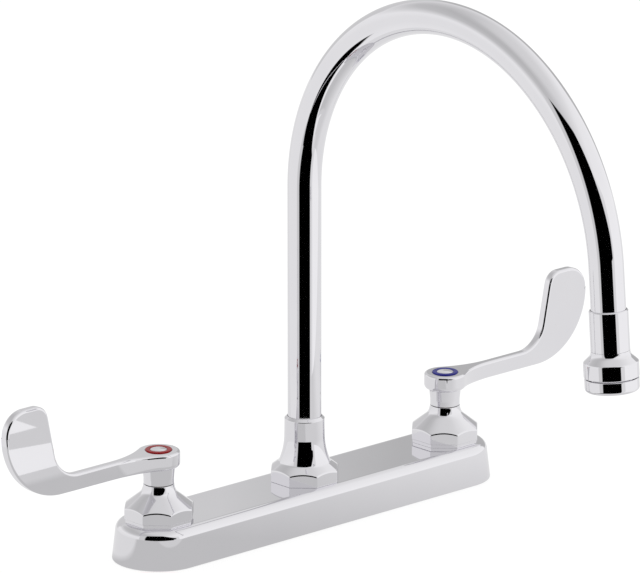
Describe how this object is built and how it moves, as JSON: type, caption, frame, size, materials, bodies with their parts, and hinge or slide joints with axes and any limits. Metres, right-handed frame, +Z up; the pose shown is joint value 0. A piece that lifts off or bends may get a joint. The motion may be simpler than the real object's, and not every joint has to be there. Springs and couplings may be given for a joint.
{
  "type": "two-handle kitchen faucet",
  "caption": "Chrome deck-mount kitchen faucet: long round-ended deck cover, octagonal bonnets with upswept lever handles, octagonal spout bell and a tall swivelling gooseneck with an aerator.",
  "frame": {"origin": "on the deck surface, under the spout's swivel axis, at the middle of the deck cover", "axes": "+X along the deck cover from the hot handle to the cold one, -Y towards the user, +Z up out of the deck"},
  "size_m": [0.4096, 0.2619, 0.3523],
  "materials": {
    "chrome": "polished chrome plate",
    "brass": "machined, unplated",
    "washer_steel": "zinc plated",
    "screw_steel": "stainless, plain",
    "screen_steel": "stainless, plain",
    "rubber": "matte black",
    "ceramic": "lapped alumina ceramic",
    "red_enamel": "glossy red",
    "blue_enamel": "glossy blue",
    "bearing_plastic": "natural acetal",
    "former_plastic": "moulded, plain"
  },
  "bodies": {
    "base": {"deck_cover": "chrome", "deck_gasket": "rubber", "waterway": "brass", "hot_shank": "brass", "cold_shank": "brass", "lock_washers": "washer_steel", "lock_nuts": "brass", "hot_bonnet_ring": "chrome", "cold_bonnet_ring": "chrome", "hot_bonnet": "chrome", "cold_bonnet": "chrome", "spout_bell": "chrome", "spout_bearings": "bearing_plastic", "hot_cartridge": "brass", "cold_cartridge": "brass", "hot_cartridge_nut": "brass", "cold_cartridge_nut": "brass", "hot_seat_seal": "rubber", "cold_seat_seal": "rubber", "hot_fixed_disc": "ceramic", "cold_fixed_disc": "ceramic"},
    "hot_lever": {"hot_handle": "chrome", "hot_stem": "brass", "hot_rotor_disc": "ceramic", "hot_handle_screw": "screw_steel", "hot_index_ring": "red_enamel", "hot_index_cap": "chrome"},
    "cold_lever": {"cold_handle": "chrome", "cold_stem": "brass", "cold_rotor_disc": "ceramic", "cold_handle_screw": "screw_steel", "cold_index_ring": "blue_enamel", "cold_index_cap": "chrome"},
    "spout": {"spout_tube": "chrome", "spout_spigot": "brass", "spout_o_rings": "rubber", "outlet_sleeve": "chrome", "outlet_nozzle": "chrome", "aerator_housing": "chrome", "aerator_washer": "rubber", "flow_former": "former_plastic", "outlet_screen": "screen_steel"}
  },
  "joints": [
    {"name": "hot_handle_turn", "type": "hinge", "parent": "base", "child": "hot_lever", "pos_m": [-0.1016, 0, 0.04], "axis": [0, 0, 1], "range_deg": [0, 90]},
    {"name": "cold_handle_turn", "type": "hinge", "parent": "base", "child": "cold_lever", "pos_m": [0.1016, 0, 0.04], "axis": [0, 0, 1], "range_deg": [-90, 0]},
    {"name": "spout_swivel", "type": "hinge", "parent": "base", "child": "spout", "pos_m": [0, 0, 0.04], "axis": [0, 0, 1], "continuous": true}
  ]
}
